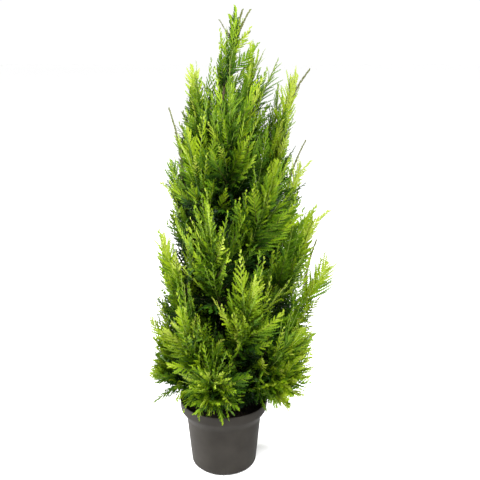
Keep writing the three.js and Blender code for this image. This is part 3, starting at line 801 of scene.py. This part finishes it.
def finer_frond(mass, order, roll):
    share = blend(*FINER_SPAN, (order + next(roll)) / FINER_FRONDS)
    point, tangent = mass.path(share)
    widest = math.radians(blend(*FINER_OPENINGS, share))
    opening = widest * between(*FINER_OPENING_RANGE, roll) * mass.spread
    away = beside(tangent, mass.outward, either_way(math.pi, roll))
    twist = either_way(math.pi / 2, roll)
    length = mass.spray_length * between(*FINER_LENGTHS, roll)
    slimness = between(SLIMMEST, FULLEST, roll)
    bend = UP * (FINER_RISE + 2 * mass.lift) + away * between(*FINER_SWING, roll)
    along = opened(tangent, away, opening)
    return frond("fill", point, along, bend, length, slimness, mass.outward, twist, mass.grain)


def inner_frond(mass, roll):
    point = mass.line(between(*INNER_SPAN, roll))[0]
    sideways = np.cross(UP, mass.outward)
    turn = either_way(INNER_TURN, roll)
    along = unit(opened(mass.outward, sideways, turn) + UP * between(*mass.inner_rise, roll))
    twist = either_way(math.pi / 2, roll)
    length = mass.spray_length * between(*mass.inner_lengths, roll)
    slimness = between(SLIMMEST, FULLEST, roll)
    bend = UP * mass.lift + sideways * between(*INNER_SWING, roll)
    return frond("fill", point, along, bend, length, slimness, mass.outward, twist, mass.grain)


def tip_frond(mass, roll):
    point, tangent = mass.path(between(*TIP_SPAN, roll))
    sideways = beside(tangent, mass.outward, math.tau * next(roll))
    target = mass.tip + sideways * TIP_SIDE * next(roll) + UP * between(*TIP_RISE, roll)
    along = unit(unit(target - point) + tangent)
    twist = math.tau * next(roll)
    return frond_to(target, "end", point, along, TIP_SLIMNESS, mass.outward, twist, mass.grain)


print("length of a finer frond:", round(finer_frond(masses[0], 0, dice(SEED)).length), "mm")

# %% [markdown]
# ## Fronds placed one by one
# A few fronds give the plant in the photo its own outline: the broad ones that hang over the rim, the
# tips at both sides, the leader's plume, and long thin whips with dry foliage. No rule grows just these,
# so each is given the place of its tip. Shoots are counted from 0, and the leader comes last. A row says
# where on the stem the frond starts, how far its tip lies outward, sideways and up from the shoot's tip,
# and how slim it is.

# %% Placed fronds
PLACED_FRONDS = {
    1: [(0.1, 0, -40, -40, 0.2), (0.1, -15, 40, -40, 0.14)],
    3: [
        (0.1, -70, 25, -95, 0.2), (0.1, -90, 95, -95, 0.2), (0.1, -70, 60, -85, 0.2),
        (0.1, -45, 5, -85, 0.2),
    ],
    4: [(0.1, -100, 20, -125, 0.2), (0.1, -105, -35, -115, 0.2)],
    12: [(1, -35, 0, 75, 0.028), (1, 5, 0, -45, 0.2)],
    17: [(1, 45, 0, 30, 0.08), (1, 10, 0, 40, 0.1)],
    20: [(1, 20, 0, 65, 0.028), (1, 40, 0, 0, 0.1)],
    21: [(1, 5, 0, 145, 0.028), (1, 30, 0, -65, 0.12)],
    25: [(1, 40, 0, 5, 0.028)],
    28: [(1, 20, -25, -20, 0.12)],
    SHOOT_COUNT: [
        (1, 0, 20, -10, 0.06), (1, 0, 40, -10, 0.04), (1, 5, 40, -65, 0.06), (1, -10, 40, -95, 0.07),
        (1, 10, -40, -35, 0.04), (1, 10, -20, -60, 0.06),
    ],
}
WHIP_SLIMNESS, WHIP_GRAIN = 0.065, 0.6
PLACED_LIFT, PLACED_HOLD, PLACED_LEAN = 0.6, 0.25, 0.2


def placed_frond(mass, start, out, side, up, slimness, roll):
    point = mass.path(start)[0]
    target = mass.tip + mass.outward * out + np.cross(UP, mass.outward) * side + UP * up
    along = unit(unit(target - point) + UP * PLACED_LIFT - mass.outward * PLACED_HOLD)
    facing = UP + mass.outward * PLACED_LEAN
    twist = mass.end_twist + either_way(TWIST_JITTER / 2, roll)
    kind, grain = ("whip", WHIP_GRAIN) if slimness < WHIP_SLIMNESS else ("broad", mass.grain)
    return frond_to(target, kind, point, along, slimness, facing, twist, grain)


print("fronds placed one by one:", sum(len(rows) for rows in PLACED_FRONDS.values()))

# %% [markdown]
# ## Fronds in the shade
# Inside the real crown short dark sprays hide the trunk and stems. A dark core could hide them as well,
# but it would show as a lump through the gaps. So short, wide, coarse fronds stand out all round from the
# shoots' lines and from the trunk. Their leaves get darker tints as painted shade, less so higher up.

# %% Shade and trunk fronds
SHADE_GRAIN, TRUNK_FROND_COUNT = 1.85, 110
SHADE_SPAN, SHADE_OPENINGS, SHADE_LENGTHS, SHADE_SLIMNESS = (0.08, 0.7), (45, 85), (0.3, 0.55), 0.34
TRUNK_FROND_RISES, TRUNK_FROND_LENGTHS, TRUNK_FROND_HEIGHTS = (0.3, 1.5), (70, 135), (280, 950)
TRUNK_FROND_SLIMNESS, TRUNK_FROND_LIFT = 0.3, 0.1


def shade_frond(mass, roll):
    point, tangent = mass.line(between(*SHADE_SPAN, roll))
    opening = math.radians(between(*SHADE_OPENINGS, roll))
    along = opened(tangent, beside(tangent, mass.outward, math.tau * next(roll)), opening)
    length = mass.spray_length * between(*SHADE_LENGTHS, roll)
    twist = math.tau * next(roll)
    bend = UP * mass.lift
    return frond("shade", point, along, bend, length, SHADE_SLIMNESS, mass.outward, twist, SHADE_GRAIN)


def trunk_frond(roll):
    turn = math.tau * next(roll)
    outward = np.array([math.cos(turn), math.sin(turn), 0])
    along = unit(outward + UP * between(*TRUNK_FROND_RISES, roll))
    length = between(*TRUNK_FROND_LENGTHS, roll)
    twist = either_way(math.pi / 2, roll)
    point = trunk_at(between(*TRUNK_FROND_HEIGHTS, roll))
    bend = UP * TRUNK_FROND_LIFT
    return frond("trunk", point, along, bend, length, TRUNK_FROND_SLIMNESS, outward, twist, SHADE_GRAIN)


print("fronds on the trunk:", TRUNK_FROND_COUNT)

# %% [markdown]
# ## Room for a frond
# On the real plant fronds share the light and seldom push through each other. Testing every pair of
# meshes would be slow, so a grid of points on a frond is measured against the crown's outline, the pot,
# the trunk and every shoot's line at once. A frond that would leave the outline, reach deep into another
# shoot's space or come too near the pot or the trunk is shortened step by step, and left out when the
# shortest doesn't fit either. Fronds placed one by one, and those on the trunk, may cross another shoot's
# space.

# %% Points of a frond and of the crown
FROND_FOOT, FROND_TIP, FULLEST_EARLY = 0.06, 0.97, 0.62
FOOT_FULLNESS, TIP_THINNING = 1.15, 0.4
LINE_POINTS, TIGHTEST_TOP = 9, 0.2


def frond_points(f, u, v):
    u, v = np.asarray(u)[..., None], np.asarray(v)[..., None]
    return f.root + f.along * f.length * u + f.bend * f.length * u * u + f.across * v


def outline(f, u, foot=FROND_FOOT, tip=FROND_TIP):
    share = np.clip((u - foot) / (tip - foot), 0, 1)
    belly = np.sin(np.pi * share**FULLEST_EARLY)
    return f.length * f.slimness * belly * (FOOT_FULLNESS - TIP_THINNING * share)


lines = np.array([[mass.line(share)[0] for share in np.linspace(0, 1, LINE_POINTS)] for mass in masses])


def line_distances(points):
    start, step = lines[:, :-1], np.diff(lines, axis=1)
    offset = points[:, None, None] - start
    share = np.clip((offset * step).sum(-1) / (step**2).sum(-1), 0, 1)
    return np.linalg.norm(offset - share[..., None] * step, axis=-1).min(-1)


def crown_share(points):
    height = points[:, 2]
    x = points[:, 0] - np.array([trunk_at(z)[0] for z in height])
    out = np.hypot(x, points[:, 1])
    closing = np.clip((TREE_TOP - height) / (TREE_TOP - HIGHEST_TIP), TIGHTEST_TOP, 1)
    limit = crown_reach(np.minimum(height, HIGHEST_TIP)) * fullness(height, x / np.maximum(out, 1))
    return out, limit * closing


print("points on the shoots' lines:", lines.shape[0] * lines.shape[1])

# %% Room and shortening
FILL_DEPTH, SHADE_REACH, OVERLAP = 10, 0.72, 40
SKIRT_FOOT, POT_CLEARANCE, TRUNK_CLEARANCE, MOST_AT_TRUNK = 205, 3, 14, 0.1
SHORTENINGS = (1, 0.85, 0.7, 0.55, 0.4)
IN_SHADE, FREE_OF_LINES = ("shade", "trunk"), ("whip", "broad", "trunk")
GRID_FOOT, GRID_ROWS, GRID_COLUMNS = 0.2, 9, 5
grid_u, grid_v = np.meshgrid(np.linspace(GRID_FOOT, 1, GRID_ROWS), np.linspace(-1, 1, GRID_COLUMNS))


def allowed_reach(kind, limit):
    if kind == "side":
        return limit
    if kind == "fill":
        return limit - FILL_DEPTH
    if kind in IN_SHADE:
        return SHADE_REACH * limit
    return np.inf


def has_room(f, number):
    points = frond_points(f, grid_u, grid_v * outline(f, grid_u)).reshape(-1, 3)
    beyond_rim = np.hypot(points[:, 0], points[:, 1]) > RIM_RADIUS + POT_CLEARANCE
    if (points[:, 2] < np.where(beyond_rim, SKIRT_FOOT, POT_HEIGHT + POT_CLEARANCE)).any():
        return False
    out, limit = crown_share(points)
    if number < SHOOT_COUNT and (out < TRUNK_CLEARANCE).mean() > MOST_AT_TRUNK:
        return False
    if (out > allowed_reach(f.kind, limit)).any():
        return False
    distance = line_distances(points)
    return f.kind in FREE_OF_LINES or (distance[:, number] - OVERLAP <= distance.min(1)).all()


def fits(f, number):
    full_length = f.length
    for share in SHORTENINGS:
        f.length = full_length * share
        if has_room(f, number):
            return True
    return False


trial = end_frond(masses[0], dice(SEED))
print("the first end frond has room:", fits(trial, 0), "at", round(trial.length), "mm")

# %% Grow all fronds
fronds = []
for number, mass in enumerate(masses):
    roll = dice(mass.seed)
    wanted = [end_frond(mass, roll)]
    wanted += [side_frond(mass, order, roll) for order in range(mass.sprays)]
    wanted += [finer_frond(mass, order, roll) for order in range(FINER_FRONDS)]
    wanted += [inner_frond(mass, roll) for _ in range(mass.inner)]
    wanted += [tip_frond(mass, roll) for _ in range(TIP_FRONDS)]
    wanted += [placed_frond(mass, *row, roll) for row in PLACED_FRONDS.get(number, [])]
    wanted += [shade_frond(mass, roll) for _ in range(mass.shade)]
    for f in wanted:
        f.tone = mass.tone
    fronds += [f for f in wanted if fits(f, number)]

roll = dice(SEED)
trunk_fronds = [trunk_frond(roll) for _ in range(TRUNK_FROND_COUNT)]
for f in trunk_fronds:
    f.tone = 0
fronds += [f for f in trunk_fronds if fits(f, SHOOT_COUNT)]
KINDS = ("end", "side", "fill", "whip", "broad", "shade", "trunk")
print("fronds:", len(fronds), {kind: sum(f.kind == kind for f in fronds) for kind in KINDS})

# %% [markdown]
# ## Branchlets and leaves
# A twiglet could be modelled as a scaly rod, but at this size it reads as one small pointed blade with a
# keel. It is four corners and two faces, folded along its middle. A narrow ribbon under the blades stands
# for the branchlet itself. All branchlets of a frond are worked out at once as arrays: where they leave
# the rachis, how far they reach to fill the frond's outline, how they curl, and then the twiglets along
# each.

# %% Branchlets
TWIGLET_LENGTH, TWIGLET_WIDTH = 7.0, 3.5
BRANCHLET_STEP, FEWEST_BRANCHLETS = 5.4, 8
BRANCHLET_SPAN, BRANCHLET_LIMITS, STEP_JITTER = (0.08, 0.96), (0.05, 0.98), 0.25
BRANCHLET_ANGLES, ANGLE_SPREAD, ANGLE_LIMITS = (48, 22), 6, (14, 60)
BRANCHLET_LEAD, LAST_BRANCHLET, BRANCHLET_LENGTHS = 0.05, 1.04, (0.72, 1.15)
CURL_SPREAD, CURL_AHEAD = 0.15, 0.14


def branchlet_count(f):
    return max(FEWEST_BRANCHLETS, round(f.length / (BRANCHLET_STEP * f.grain)))


def branchlets_of(f, chance):
    count = branchlet_count(f)
    order = np.arange(count)
    side = np.where(order % 2, 1.0, -1.0)
    jitter = chance.uniform(-STEP_JITTER, STEP_JITTER, count)
    u = blend(*BRANCHLET_SPAN, (order + jitter) / (count - 1)).clip(*BRANCHLET_LIMITS)
    degrees = blend(*BRANCHLET_ANGLES, u) + chance.normal(0, ANGLE_SPREAD, count)
    angle = np.radians(degrees.clip(*ANGLE_LIMITS))
    length = outline(f, u + BRANCHLET_LEAD, 0.0, LAST_BRANCHLET) / np.sin(angle)
    length = np.maximum(length * chance.uniform(*BRANCHLET_LENGTHS, count), TWIGLET_LENGTH * f.grain)
    tangent = unit(f.along + 2 * u[:, None] * f.bend)
    across = unit(np.cross(np.broadcast_to(f.face, tangent.shape), tangent))
    way = tangent * np.cos(angle)[:, None] + across * (side * np.sin(angle))[:, None]
    curl = f.face * (f.cup + chance.normal(0, CURL_SPREAD, count))[:, None] + tangent * CURL_AHEAD
    return SimpleNamespace(u=u, base=frond_points(f, u, 0 * u), way=way, curl=curl, length=length)


print("branchlets:", sum(branchlet_count(f) for f in fronds))

# %% Twiglets and ribbons
TWIGLET_STEP, FEWEST_TWIGLETS, FIRST_TWIGLET, TWIGLET_MARGIN = 2.6, 4, 0.8, 0.2
TWIGLET_ANGLE, TWIGLET_ANGLE_SPREAD = 38, 5
TWIGLET_TAPER, TWIGLET_SIZES, TWIGLET_LIFT_SPREAD = (1.1, 0.62), (0.8, 1.15), 0.25
FULL_BRANCHLET, SMALLEST_TWIGLET = 26, 0.55
WIDEST_AT, KEEL_DEPTH = 0.52, 0.25
RIBBON_SHARES, RIBBON_HALF_WIDTHS = (0, 0.5, 1), (1.9, 1.8, 0.8)


def twiglets_of(f, b, chance):
    each = np.maximum(FEWEST_TWIGLETS, np.round(b.length / (TWIGLET_STEP * f.grain))).astype(int)
    row = np.repeat(np.arange(len(each)), each)
    order = np.arange(each.sum()) - np.repeat(np.cumsum(each) - each, each)
    t = (order + FIRST_TWIGLET) / (each[row] + TWIGLET_MARGIN)
    reach = b.length[row][:, None]
    point = b.base[row] + b.way[row] * reach * t[:, None] + b.curl[row] * reach * (t**2)[:, None]
    ahead = unit(b.way[row] + 2 * t[:, None] * b.curl[row])
    face = unit(f.face - ahead * (ahead @ f.face)[:, None])
    side = np.where(order % 2, 1.0, -1.0) * np.where(order == each[row] - 1, 0.0, 1.0)
    angle = np.radians(chance.normal(TWIGLET_ANGLE, TWIGLET_ANGLE_SPREAD, len(t))) * side
    way = ahead * np.cos(angle)[:, None] + np.cross(face, ahead) * np.sin(angle)[:, None]
    size = TWIGLET_LENGTH * f.grain * blend(*TWIGLET_TAPER, t) * chance.uniform(*TWIGLET_SIZES, len(t))
    size *= np.clip(b.length[row] / FULL_BRANCHLET, SMALLEST_TWIGLET, 1)
    lift = face * chance.normal(0.0, TWIGLET_LIFT_SPREAD, len(t))[:, None]
    half = np.cross(face, way) * TWIGLET_WIDTH * f.grain / 2
    middle = point + way * (WIDEST_AT * size)[:, None] - face * KEEL_DEPTH * TWIGLET_WIDTH
    tip = point + (way + lift) * size[:, None]
    return np.stack([point, middle + half, tip, middle - half], 1), row


def ribbons_of(f, b):
    reach = b.length[:, None]
    across = unit(np.cross(np.broadcast_to(f.face, b.way.shape), b.way))
    spots = [b.base + b.way * reach * t + b.curl * reach * t * t for t in RIBBON_SHARES]
    left = [spot - across * half for spot, half in zip(spots, RIBBON_HALF_WIDTHS)]
    right = [spot + across * half for spot, half in zip(spots, RIBBON_HALF_WIDTHS)]
    strips = [np.stack([left[n], right[n], right[n + 1], left[n + 1]], 1) for n in range(2)]
    return np.concatenate(strips), np.tile(np.arange(len(b.u)), len(strips))


print("a twiglet's blade:", TWIGLET_LENGTH, "by", TWIGLET_WIDTH, "mm")

# %% [markdown]
# ## Tints
# The leaves get darker tints in the depth of the crown, partly for older foliage there and partly as
# painted shade, and lighter ones towards its outside and its top, partly as painted light. New growth at
# the frond tips turns golden green. A texture could carry that, but a leaf is too small to need one. Nine
# plain tints run from shade to golden, and a branchlet's tint follows from how far out its frond lies, the
# kind of frond, and how near the frond's tip it grows. Whips have a dry tint of their own.

# %% Tints
TINTS = {
    "shade": (0.003, 0.015, 0.0005),
    "dusk": (0.009, 0.033, 0.0007),
    "deep": (0.019, 0.058, 0.001),
    "calm": (0.041, 0.095, 0.0015),
    "mid": (0.070, 0.141, 0.002),
    "bright": (0.112, 0.190, 0.003),
    "fresh": (0.164, 0.246, 0.004),
    "light": (0.207, 0.282, 0.015),
    "golden": (0.255, 0.320, 0.034),
    "dry": (0.090, 0.106, 0.028),
}
TINT_LIMITS = (0.17, 0.27, 0.37, 0.47, 0.57, 0.67, 0.77, 0.87)
print("tints:", list(TINTS))

# %% Tone of a frond
KIND_TONES = {"end": 0.1, "side": 0.04, "broad": 0.08}
BASE_TONE, OUTNESS_TONE, TONE_SPREAD = 0.09, 0.55, 0.15
DEEP_VARIETY, OUTER_CALM = 1.2, 0.5
TONE_PLACE, OPEN_FROM, OPEN_OVER = 0.6, 890, 250
SHADE_TONE, SHADE_FADES_FROM, SHADE_FADES_TO = -0.25, 850, 1050
ALONG_TONE, BRANCHLET_TONE_SPREAD = 0.42, 0.055
LEAF_SEED = 11


def frond_tone(f, chance):
    middle = frond_points(f, np.array([TONE_PLACE]), np.array([0.0]))
    out, limit = crown_share(middle)
    height = middle[0, 2]
    # painted shade inside, painted light outside and on top: the tone grows with outness and with height
    outness = np.clip(max(out[0] / limit[0], (height - OPEN_FROM) / OPEN_OVER), 0, 1)
    variety = chance.normal(0, TONE_SPREAD) * (DEEP_VARIETY - OUTER_CALM * outness)
    tone = BASE_TONE + f.tone + OUTNESS_TONE * outness + variety
    # painted shade: shade and trunk fronds get darker tints, less so higher in the crown
    if f.kind in IN_SHADE:
        return tone + SHADE_TONE * (1 - ease(height, SHADE_FADES_FROM, SHADE_FADES_TO))
    return tone + KIND_TONES.get(f.kind, 0)


def tints_of(f, b, tone, chance):
    level = tone + ALONG_TONE * (b.u - 0.5) + chance.normal(0, BRANCHLET_TONE_SPREAD, len(b.u))
    if f.kind == "whip":
        return np.full(len(level), list(TINTS).index("dry"))
    return np.digitize(level, TINT_LIMITS)


print("tone of the first frond:", round(float(frond_tone(fronds[0], np.random.default_rng(LEAF_SEED))), 2))

# %% Growing the leaves
CUP, CUP_SPREAD = 0.12, 0.16

chance = np.random.default_rng(LEAF_SEED)
leaves = {tint: [] for tint in TINTS}
for f in fronds:
    f.cup = chance.normal(CUP, CUP_SPREAD)
    tone = frond_tone(f, chance)
    b = branchlets_of(f, chance)
    choice = tints_of(f, b, tone, chance)
    for corners, row in (twiglets_of(f, b, chance), ribbons_of(f, b)):
        for number, tint in enumerate(TINTS):
            leaves[tint].append(corners[choice[row] == number])
leaves = {tint: np.concatenate(parts) for tint, parts in leaves.items()}
print("triangles of leaves:", {tint: 2 * len(corners) for tint, corners in leaves.items()})

# %% [markdown]
# ## Leaf pieces
# Nearly half a million blades and ribbons as objects would stop Blender, so all of one tint are joined
# into one mesh with one plain, slightly waxy finish. A piece that grows too heavy is split.

# %% Leaf pieces
MOST_BLADES = 95000
BLADE_FACES = [(0, 1, 2), (0, 2, 3)]
LEAF_ROUGHNESS, LEAF_GLOSS = 0.55, 0.12

leaf_pieces = []
for tint, corners in leaves.items():
    finish = plain_finish("leaf " + tint, TINTS[tint], LEAF_ROUGHNESS, LEAF_GLOSS)
    for number, part in enumerate(np.array_split(corners, math.ceil(len(corners) / MOST_BLADES)), 1):
        name = f"leaves_{tint}_{number}"
        leaf_pieces.append(
            new_piece(name, joined_mesh(name, part, BLADE_FACES), finish, foliage_nodes)
        )
print("pieces of leaves:", len(leaf_pieces))

# %% [markdown]
# ## Rachises
# The rachis is the twig down a frond's middle. It is brown and woody on older fronds and on whips, and
# green on young ones. It could be a curve with a round bevel, but that has more faces than such a thin
# twig needs. Each is a three-sided tapering tube of a few rings, and they are joined into one brown and
# one green piece.

# %% Rachis tubes
RACHIS_RINGS, RACHIS_SIDES = 6, 3
RACHIS_RADIUS, RACHIS_TAPER, RACHIS_END, FULL_RACHIS = 1.25, (1.0, 0.25), 0.97, 110
brown_twig = plain_finish("twig brown", (0.07, 0.042, 0.02), 0.7)
green_twig = plain_finish("twig green", (0.22, 0.3, 0.05), 0.6)
TWIGS = {
    "twigs_brown": (brown_twig, ("side", "shade", "trunk", "whip")),
    "twigs_green": (green_twig, ("end", "fill", "broad")),
}


def rachis_tube(f):
    u = np.linspace(0, RACHIS_END, RACHIS_RINGS)
    spine = frond_points(f, u, 0 * u)
    radius = RACHIS_RADIUS * blend(*RACHIS_TAPER, u)[:, None] * min(1, f.length / FULL_RACHIS)
    angles = math.pi / 2 + np.arange(RACHIS_SIDES) * math.tau / RACHIS_SIDES
    return np.stack([spine + radius * opened(f.across, f.face, angle) for angle in angles], 1)


tube_faces = [(0, 2, 1), tuple(RACHIS_SIDES * (RACHIS_RINGS - 1) + side for side in range(RACHIS_SIDES))]
for ring in range(RACHIS_RINGS - 1):
    for side in range(RACHIS_SIDES):
        near = RACHIS_SIDES * ring + side
        beyond = RACHIS_SIDES * ring + (side + 1) % RACHIS_SIDES
        tube_faces.append((near, beyond, beyond + RACHIS_SIDES))
        tube_faces.append((near, beyond + RACHIS_SIDES, near + RACHIS_SIDES))
for name, (finish, kinds) in TWIGS.items():
    tubes = np.array([rachis_tube(f) for f in fronds if f.kind in kinds])
    new_piece(name, joined_mesh(name, tubes, tube_faces), finish, foliage_nodes)
    print(name, len(tubes))
